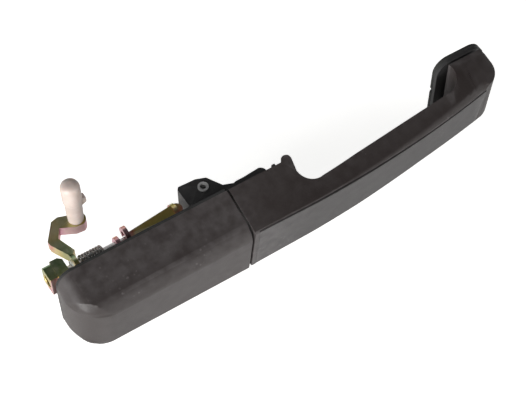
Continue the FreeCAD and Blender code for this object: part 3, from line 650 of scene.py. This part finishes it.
rubber = mould_plastic("rubber", (0.014, 0.014, 0.013), (0.021, 0.021, 0.020),
                       (0.05, 0.05, 0.05), 900.0, 0.30, (0.62, 0.78), knocks=0.3)
soften("rear_gasket", "gasket_rubber", "chassis", rubber, 0.3)
soften("front_pad", "pad_rubber", "chassis", rubber, 0.5, 3)
soften("rest_bumper", "bumper_rubber", "grip", rubber, 0.4)


# ---------------------------------------------------------------- bracket, lever and block
# Pressed steel, zinc plated and passivated yellow. The film's thickness drifts over a
# pressing and along the bath, so it runs from green and olive to gold, red and pink.
# Each face's colour also follows which way it points: painted light, standing in for
# the sheen each side throws back under these lamps.

yellow_zinc, tree, shader = new_finish("yellow_zinc", (0.55, 0.48, 0.18), 0.3, 1.0)
coords = put(tree, "ShaderNodeTexCoord")
film = put(tree, "ShaderNodeTexNoise", {"Vector": coords.outputs["Object"], "Scale": 44.0,
                                        "Detail": 1.0})
# painted light: this term shifts the colour by the way a face points, a painted stand-in for the
# sheen each side reflects
turned = put(tree, "ShaderNodeVectorMath", {0: coords.outputs["Normal"], 1: (-0.02, -0.17, -0.13)},
             operation="DOT_PRODUCT")
thickness = sums(tree, "ADD", film.outputs["Fac"], turned.outputs["Value"])
hung = put(tree, "ShaderNodeSeparateXYZ", {0: coords.outputs["Object"]}).outputs["X"]
thickness = sums(tree, "ADD", thickness, fade(tree, hung, 0.0, 0.06, 0.0, 0.15))
shine = ramp(tree, thickness, ((0.30, (0.05, 0.15, 0.04)), (0.38, (0.16, 0.24, 0.06)),
                               (0.45, (0.38, 0.36, 0.10)), (0.52, (0.60, 0.46, 0.13)),
                               (0.58, (0.66, 0.50, 0.20)), (0.64, (0.62, 0.19, 0.12)),
                               (0.72, (0.70, 0.34, 0.44))))
wear_marks = use_effect(tree, handling_wear, rubbing=0.5, knocks=0.0)
shine = mix(tree, wear_marks.outputs["Edges"], shine, (0.85, 0.82, 0.62))
tree.links.new(shine, shader.inputs["Base Color"])
plating = put(tree, "ShaderNodeTexNoise", {"Vector": coords.outputs["Object"], "Scale": 900.0,
                                           "Detail": 4.0})
tree.links.new(fade(tree, plating.outputs["Fac"], 0.3, 0.7, 0.30, 0.38), shader.inputs["Roughness"])
bump = put(tree, "ShaderNodeBump", {"Height": plating.outputs["Fac"], "Strength": 0.04,
                                    "Distance": 0.00005})
tree.links.new(bump.outputs["Normal"], shader.inputs["Normal"])
soften("mounting_bracket", "bracket_pressing", "chassis", yellow_zinc, 0.3, 3)
soften("fixing_block", "fixing_block_nut", "chassis", yellow_zinc, 0.45, 3)
soften("relay_lever", "lever_pressing", "relay_lever", yellow_zinc, 0.3, 3)
soften("front_hook", "hook_pressing", "chassis", yellow_zinc, 0.25)


# ---------------------------------------------------------------- pins, spring and screws
# Drawn and turned steel. Faint rings or draw lines show along each one.

def turn_steel(name, colour, dark, roughness, lines, metallic=1.0):
    """Steel with fine lines across one direction and slow tone changes."""
    finish, tree, shader = new_finish(name, colour, roughness, metallic)
    where = put(tree, "ShaderNodeTexCoord").outputs["Object"]
    stretched = put(tree, "ShaderNodeMapping", {"Vector": where, "Scale": lines})
    drawn = put(tree, "ShaderNodeTexNoise", {"Vector": stretched.outputs["Vector"], "Scale": 1.0,
                                             "Detail": 4.0})
    tree.links.new(mix(tree, fade(tree, drawn.outputs["Fac"], 0.35, 0.65), dark, colour),
                   shader.inputs["Base Color"])
    tree.links.new(fade(tree, drawn.outputs["Fac"], 0.3, 0.7, roughness, roughness + 0.16),
                   shader.inputs["Roughness"])
    bump = put(tree, "ShaderNodeBump", {"Height": drawn.outputs["Fac"], "Strength": 0.1,
                                        "Distance": 0.00005})
    tree.links.new(bump.outputs["Normal"], shader.inputs["Normal"])
    return finish


bright_steel = turn_steel("bright_steel", (0.82, 0.82, 0.81), (0.68, 0.68, 0.67), 0.3,
                          (300, 300, 5000), 0.6)
spring_steel = turn_steel("spring_steel", (0.44, 0.43, 0.41), (0.24, 0.23, 0.22), 0.3,
                          (3000, 600, 600))
black_screw = turn_steel("black_screw", (0.075, 0.075, 0.08), (0.04, 0.04, 0.042), 0.36,
                         (900, 900, 900))
dress_nodes(bright_steel, "relay_rod", "hollow_pin", "pivot_pin", "stiffener_bar")
dress_nodes(spring_steel, "rod_washer")
dress_nodes(black_screw, "bracket_screws", "pull_arm_screws", "hook_screws")


# ---------------------------------------------------------------- return spring
# Seven and a half turns of 1.2 mm wire round the shaft. One leg bears on the bracket
# and the other on the lever, which brings the lever back when the handle is let go.

SHAFT_INWARD, SHAFT_UP = 7.5, 6.0
COIL_START, COIL_RADIUS, WIRE_RADIUS = -67.9, 3.9, 0.6
COIL_TURNS, COIL_PITCH = 7.5, 1.35
START_LEG, END_LEG = 10.6, 7.6

spring = start("return_spring_wire", bpy.ops.mesh.primitive_circle_add, vertices=12,
               radius=WIRE_RADIUS / 1000, location=at(COIL_START, SHAFT_INWARD, SHAFT_UP),
               rotation=(math.radians(90), 0, 0))
bpy.ops.mesh.select_all(action="SELECT")
shift(up=-COIL_RADIUS)
bpy.ops.object.mode_set(mode="OBJECT")
bpy.ops.object.transform_apply(location=False, rotation=True, scale=True)
finish_with(spring, "SCREW", axis="X", angle=math.tau * COIL_TURNS, steps=int(COIL_TURNS * 32),
            render_steps=int(COIL_TURNS * 32), screw_offset=COIL_TURNS * COIL_PITCH / 1000,
            use_merge_vertices=False)
bpy.ops.object.mode_set(mode="EDIT")
finish_along = COIL_START + COIL_TURNS * COIL_PITCH
for along, up, leg in ((COIL_START, SHAFT_UP - COIL_RADIUS, START_LEG),
                       (finish_along, SHAFT_UP + COIL_RADIUS, END_LEG)):
    pick(spring, "edges", lambda p, edge: edge.is_boundary and abs(p.x - along) < 0.9
         and abs(p.z - up) < 0.9)
    bpy.ops.mesh.extrude_region_move(TRANSFORM_OT_translate={"value": (0, -leg / 1000, 0)})
    bpy.ops.mesh.edge_face_add()
bpy.ops.mesh.select_all(action="SELECT")
bpy.ops.mesh.normals_make_consistent(inside=False)
close_up(spring)
smooth(spring, 50)
dress(spring, spring_steel)
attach(spring, "chassis")
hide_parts("return_spring")


# ---------------------------------------------------------------- clip, sleeve and bushes
# The clip that takes the latch rod and the finger's sleeve are natural nylon, cloudy
# and slightly see-through. The bushes of the relay and the hinge are white acetal.

def cloud_nylon(name, colour, pale, depth, roughness):
    """A milky plastic that lets some light through its skin."""
    finish, tree, shader = new_finish(name, colour, roughness)
    where = put(tree, "ShaderNodeTexCoord").outputs["Object"]
    cloud = put(tree, "ShaderNodeTexNoise", {"Vector": where, "Scale": 190.0, "Detail": 3.0})
    tree.links.new(mix(tree, fade(tree, cloud.outputs["Fac"], 0.35, 0.65), colour, pale),
                   shader.inputs["Base Color"])
    shader.inputs["Subsurface Weight"].default_value = depth
    shader.inputs["Subsurface Radius"].default_value = (1.0, 0.75, 0.6)
    shader.inputs["Subsurface Scale"].default_value = 0.003
    bump = put(tree, "ShaderNodeBump", {"Height": cloud.outputs["Fac"], "Strength": 0.08,
                                        "Distance": 0.0002})
    tree.links.new(bump.outputs["Normal"], shader.inputs["Normal"])
    return finish


nylon = cloud_nylon("nylon", (0.56, 0.465, 0.42), (0.64, 0.55, 0.505), 0.55, 0.38)
white_bush = cloud_nylon("white_bush", (0.78, 0.77, 0.72), (0.84, 0.83, 0.79), 0.25, 0.35)

CLIP_ALONG, CLIP_INWARD = -60, 27
CLIP_PROFILE = ((4.0, 2.7), (10.7, 2.7), (10.7, 3.2), (11.1, 3.5), (17.0, 3.85), (24.4, 3.9),
                (24.9, 4.25), (25.6, 4.4), (33.4, 4.4), (34.8, 4.3), (35.8, 3.9), (36.5, 3.2),
                (37.0, 2.1), (37.2, 0.8))
CLIP_BORE, CLIP_BORE_TOP = 1.6, 26.0
TAB_LOW, TAB_HIGH = (3.2, -1.7, 20.2), (5.9, 1.7, 25.5)
TAB_ROUND, TAB_TOP_FALL, TAB_LOW_RISE = 0.5, 1.0, 1.2

base_up, base_radius = CLIP_PROFILE[0]
clip = start("rod_clip_moulding", bpy.ops.mesh.primitive_circle_add, vertices=48,
             radius=base_radius / 1000, fill_type="NGON",
             location=at(CLIP_ALONG, CLIP_INWARD, base_up))
for (low, narrow), (high, wide) in zip(CLIP_PROFILE, CLIP_PROFILE[1:]):
    bpy.ops.mesh.extrude_region_move(TRANSFORM_OT_translate={"value": (0, 0, (high - low) / 1000)})
    bpy.ops.transform.resize(value=(wide / narrow, wide / narrow, 1))
pick(clip, "faces", lambda p, face: p.z < base_up + 0.01 and len(face.verts) > 20)
bpy.ops.mesh.inset(thickness=(base_radius - CLIP_BORE) / 1000)
bore_depth = (CLIP_BORE_TOP - base_up) / 1000
bpy.ops.mesh.extrude_region_move(TRANSFORM_OT_translate={"value": (0, 0, bore_depth)})
bpy.ops.mesh.select_all(action="SELECT")
bpy.ops.mesh.normals_make_consistent(inside=False)
close_up(clip)
smooth(clip, 40)
tab = start_block("rod_clip_tab", [a + b for a, b in zip(TAB_LOW, (CLIP_ALONG, CLIP_INWARD, 0))],
                  [a + b for a, b in zip(TAB_HIGH, (CLIP_ALONG, CLIP_INWARD, 0))])
pick(tab, "verts", lambda p, _: p.x > CLIP_ALONG + 5 and p.z > 24)
shift(up=-TAB_TOP_FALL)
pick(tab, "verts", lambda p, _: p.x > CLIP_ALONG + 5 and p.z < 22)
shift(up=TAB_LOW_RISE)
close_up(tab)
finish_with(tab, "BEVEL", width=TAB_ROUND / 1000, segments=3, limit_method="NONE")
smooth(tab, 40)
join(clip, tab)
dress(clip, nylon)
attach(clip, "rod_clip")
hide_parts("rod_clip")
dress_nodes(nylon, "finger_sleeve")
dress_nodes(white_bush, "relay_bushes", "pivot_bushes")
